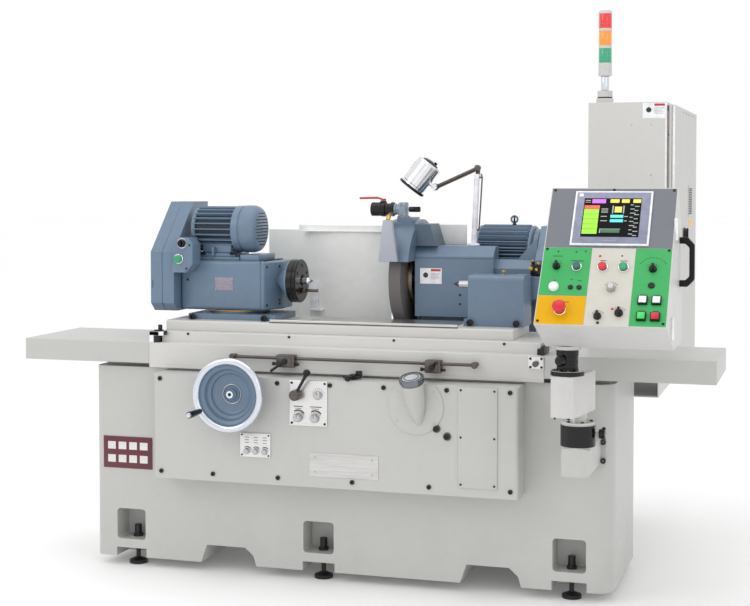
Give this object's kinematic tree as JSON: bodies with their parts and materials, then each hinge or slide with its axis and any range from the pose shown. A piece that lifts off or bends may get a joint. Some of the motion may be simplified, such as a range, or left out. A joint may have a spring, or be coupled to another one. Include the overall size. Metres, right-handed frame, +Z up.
{
  "type": "cylindrical grinding machine",
  "caption": "Floor-standing cylindrical grinder with headstock, tailstock, wheelhead, sliding table, control pendant, electric cabinet, work lamp and signal tower.",
  "frame": {"origin": "on the floor, under the middle of the machine's outer box", "axes": "+X along the table's travel, to the operator's right; +Y from the operator's side to the back; +Z up"},
  "size_m": [2.712, 2.2112, 2.207],
  "materials": {
    "machine_paint": "satin light warm grey enamel",
    "blue_grey_paint": "satin blue-grey enamel",
    "pendant_paint": "satin pale grey powder coat",
    "ground_steel": "ground bright steel",
    "chrome": "bright chrome",
    "black_oxide": "black oxide",
    "black_plastic": "moulded black",
    "red_plastic": "red moulded",
    "green_plastic": "green moulded",
    "lens_plastic": "translucent coloured lenses",
    "plate_aluminium": "brushed plate",
    "sight_paint": "satin light warm grey enamel",
    "abrasive": "grey bonded abrasive",
    "splash_paint": "satin pale grey sheet",
    "screen": "grey bezel with dark display",
    "red_steel": "red dipped handle"
  },
  "bodies": {
    "bed": {"bed_casting": "machine_paint", "leveling_feet": "black_oxide", "apron_cover": "machine_paint", "front_plates": "plate_aluminium", "front_screws": "black_oxide", "oil_sight": "sight_paint", "splash_guard": "splash_paint", "cabinet_body": "machine_paint", "signal_post": "pendant_paint", "signal_lenses": "lens_plastic", "pendant_bracket": "machine_paint", "wheelhead_base": "ground_steel"},
    "door": {"cabinet_door": "machine_paint"},
    "main_switch": {"main_switch": "black_plastic"},
    "handwheel": {"handwheel": "blue_grey_paint"},
    "start_lever": {"start_lever": "black_oxide"},
    "speed_knob": {"speed_knob": "plate_aluminium"},
    "dwell_knob_left": {"dwell_knob_left": "plate_aluminium"},
    "dwell_knob_right": {"dwell_knob_right": "plate_aluminium"},
    "reversing_lever": {"reversing_lever": "black_oxide"},
    "table": {"lower_table": "machine_paint", "table_wings": "machine_paint", "dog_rail": "ground_steel", "swivel_clamps": "black_oxide"},
    "left_dog": {"left_dog": "black_oxide"},
    "right_dog": {"right_dog": "black_oxide"},
    "swivel_table": {"upper_table": "machine_paint", "headstock_base": "blue_grey_paint"},
    "headstock": {"headstock_body": "blue_grey_paint", "headstock_belt_guard": "blue_grey_paint", "headstock_motor": "blue_grey_paint", "headstock_centre": "chrome"},
    "drive_plate": {"drive_plate": "black_oxide"},
    "headstock_knob": {"headstock_knob": "black_plastic"},
    "headstock_button": {"headstock_button": "green_plastic"},
    "tailstock": {"tailstock_body": "blue_grey_paint"},
    "quill": {"tailstock_quill": "chrome"},
    "wheelhead": {"wheelhead_housing": "blue_grey_paint", "wheelhead_motor": "blue_grey_paint", "wheelhead_belt_guard": "blue_grey_paint", "wheel_guard": "blue_grey_paint", "coolant_valve": "black_oxide"},
    "wheel": {"grinding_wheel": "abrasive", "wheel_spindle": "ground_steel"},
    "valve_lever": {"valve_lever": "red_steel"},
    "lamp_post": {"lamp_post": "chrome"},
    "lamp_arm": {"lamp_arm": "chrome"},
    "lamp_head": {"lamp_head": "chrome"},
    "pendant_arm": {"pendant_arm": "machine_paint"},
    "pendant": {"pendant_box": "pendant_paint", "operator_screen": "screen"},
    "mode_selector": {"mode_selector": "black_plastic"},
    "jog_button": {"jog_button": "green_plastic"},
    "stop_button": {"stop_button": "red_plastic"},
    "start_button": {"start_button": "green_plastic"},
    "feed_selector": {"feed_selector": "black_plastic"},
    "override_knob": {"override_knob": "plate_aluminium"},
    "cycle_selector": {"cycle_selector": "black_plastic"},
    "offset_knob": {"offset_knob": "black_plastic"},
    "estop_button": {"estop_button": "red_plastic"}
  },
  "joints": [
    {"name": "table_slide", "type": "slide", "parent": "bed", "child": "table", "axis": [1, 0, 0], "range_m": [-0.245, 0.245]},
    {"name": "left_dog_slide", "type": "slide", "parent": "table", "child": "left_dog", "axis": [1, 0, 0], "range_m": [-0.15, 0.2]},
    {"name": "right_dog_slide", "type": "slide", "parent": "table", "child": "right_dog", "axis": [1, 0, 0], "range_m": [-0.2, 0.1]},
    {"name": "table_swivel", "type": "hinge", "parent": "table", "child": "swivel_table", "pos_m": [-0.078, -0.313, 0.94], "axis": [0, 0, 1], "range_deg": [-1.5, 1.5]},
    {"name": "headstock_swivel", "type": "hinge", "parent": "swivel_table", "child": "headstock", "pos_m": [-0.551, -0.238, 1.006], "axis": [0, 0, 1], "range_deg": [0, 15]},
    {"name": "drive_plate_spin", "type": "hinge", "parent": "headstock", "child": "drive_plate", "pos_m": [-0.314, -0.273, 1.129], "axis": [1, 0, 0], "continuous": true},
    {"name": "headstock_knob_turn", "type": "hinge", "parent": "headstock", "child": "headstock_knob", "pos_m": [-0.713, -0.447, 1.279], "axis": [0, 1, 0], "range_deg": [0, 90]},
    {"name": "headstock_button_press", "type": "slide", "parent": "headstock", "child": "headstock_button", "axis": [0, 1, 0], "range_m": [0, 0.005], "stiffness_N_per_m": 500, "springref_m": -0.003},
    {"name": "tailstock_slide", "type": "slide", "parent": "swivel_table", "child": "tailstock", "axis": [-1, 0, 0], "range_m": [0, 0.3]},
    {"name": "quill_slide", "type": "slide", "parent": "tailstock", "child": "quill", "axis": [1, 0, 0], "range_m": [0, 0.03], "stiffness_N_per_m": 2500, "springref_m": -0.01},
    {"name": "handwheel_turn", "type": "hinge", "parent": "bed", "child": "handwheel", "pos_m": [-0.41, -0.713, 0.727], "axis": [0, 1, 0], "range_deg": [-4412, 4412]},
    {"name": "start_lever_turn", "type": "hinge", "parent": "bed", "child": "start_lever", "pos_m": [-0.164, -0.653, 0.73], "axis": [0, 1, 0], "range_deg": [-60, 10]},
    {"name": "speed_knob_turn", "type": "hinge", "parent": "bed", "child": "speed_knob", "pos_m": [-0.079, -0.653, 0.732], "axis": [0, 1, 0], "range_deg": [0, 270]},
    {"name": "dwell_knob_left_turn", "type": "hinge", "parent": "bed", "child": "dwell_knob_left", "pos_m": [-0.158, -0.653, 0.645], "axis": [0, 1, 0], "range_deg": [0, 270]},
    {"name": "dwell_knob_right_turn", "type": "hinge", "parent": "bed", "child": "dwell_knob_right", "pos_m": [-0.091, -0.653, 0.645], "axis": [0, 1, 0], "range_deg": [0, 270]},
    {"name": "reversing_lever_turn", "type": "hinge", "parent": "bed", "child": "reversing_lever", "pos_m": [0.04, -0.587, 0.8], "axis": [0, 0, 1], "range_deg": [-20, 20]},
    {"name": "wheelhead_slide", "type": "slide", "parent": "bed", "child": "wheelhead", "axis": [0, 1, 0], "range_m": [-0.015, 0.15]},
    {"name": "wheel_spin", "type": "hinge", "parent": "wheelhead", "child": "wheel", "pos_m": [0.105, 0.019, 1.129], "axis": [1, 0, 0], "continuous": true},
    {"name": "valve_lever_turn", "type": "hinge", "parent": "wheelhead", "child": "valve_lever", "pos_m": [-0.006, -0.043, 1.45], "axis": [0, 0, 1], "range_deg": [0, 90]},
    {"name": "lamp_turn", "type": "hinge", "parent": "wheelhead", "child": "lamp_post", "pos_m": [0.367, -0.029, 1.27], "axis": [0, 0, 1], "range_deg": [-40, 40]},
    {"name": "lamp_elbow", "type": "hinge", "parent": "lamp_post", "child": "lamp_arm", "pos_m": [0.38, -0.029, 1.576], "axis": [0, 1, 0], "range_deg": [0, 35]},
    {"name": "lamp_tilt", "type": "hinge", "parent": "lamp_arm", "child": "lamp_head", "pos_m": [0.216, -0.063, 1.5], "axis": [0, 1, 0], "range_deg": [-8, 12]},
    {"name": "door_swing", "type": "hinge", "parent": "bed", "child": "door", "pos_m": [1.162, 1.099, 1.289], "axis": [0, 0, 1], "range_deg": [0, 110]},
    {"name": "main_switch_turn", "type": "hinge", "parent": "door", "child": "main_switch", "pos_m": [1.16, 0.531, 1.297], "axis": [1, 0, 0], "range_deg": [0, 90]},
    {"name": "pendant_arm_swing", "type": "hinge", "parent": "bed", "child": "pendant_arm", "pos_m": [0.904, -0.737, 0.65], "axis": [0, 0, 1], "range_deg": [-45, 10]},
    {"name": "pendant_turn", "type": "hinge", "parent": "pendant_arm", "child": "pendant", "pos_m": [0.88554, -0.85355, 0.93], "axis": [0, 0, 1], "range_deg": [-50, 10]},
    {"name": "mode_selector_turn", "type": "hinge", "parent": "pendant", "child": "mode_selector", "pos_m": [0.867, -0.96622, 1.24191], "axis": [0, -0.7961, 0.6052], "range_deg": [-45, 45]},
    {"name": "jog_button_press", "type": "slide", "parent": "pendant", "child": "jog_button", "axis": [0, 0.7961, -0.6052], "range_m": [0, 0.004], "stiffness_N_per_m": 600, "springref_m": -0.003},
    {"name": "stop_button_press", "type": "slide", "parent": "pendant", "child": "stop_button", "axis": [0, 0.7961, -0.6052], "range_m": [0, 0.004], "stiffness_N_per_m": 600, "springref_m": -0.003},
    {"name": "start_button_press", "type": "slide", "parent": "pendant", "child": "start_button", "axis": [0, 0.7961, -0.6052], "range_m": [0, 0.004], "stiffness_N_per_m": 600, "springref_m": -0.003},
    {"name": "feed_selector_turn", "type": "hinge", "parent": "pendant", "child": "feed_selector", "pos_m": [1.182, -0.96925, 1.23793], "axis": [0, -0.7961, 0.6052], "range_deg": [-45, 45]},
    {"name": "override_knob_turn", "type": "hinge", "parent": "pendant", "child": "override_knob", "pos_m": [1.054, -1.01585, 1.17663], "axis": [0, -0.7961, 0.6052], "range_deg": [-135, 135]},
    {"name": "cycle_selector_turn", "type": "hinge", "parent": "pendant", "child": "cycle_selector", "pos_m": [1.087, -1.07274, 1.1018], "axis": [0, -0.7961, 0.6052], "range_deg": [-45, 45]},
    {"name": "offset_knob_turn", "type": "hinge", "parent": "pendant", "child": "offset_knob", "pos_m": [1.02, -1.08121, 1.09066], "axis": [0, -0.7961, 0.6052], "range_deg": [-45, 45]},
    {"name": "estop_button_press", "type": "slide", "parent": "pendant", "child": "estop_button", "axis": [0, 0.7961, -0.6052], "range_m": [0, 0.006], "stiffness_N_per_m": 600, "springref_m": -0.003}
  ],
  "couplings": [
    {"joint": "handwheel_turn", "follows": "table_slide", "rad_per_m": 314.16}
  ]
}
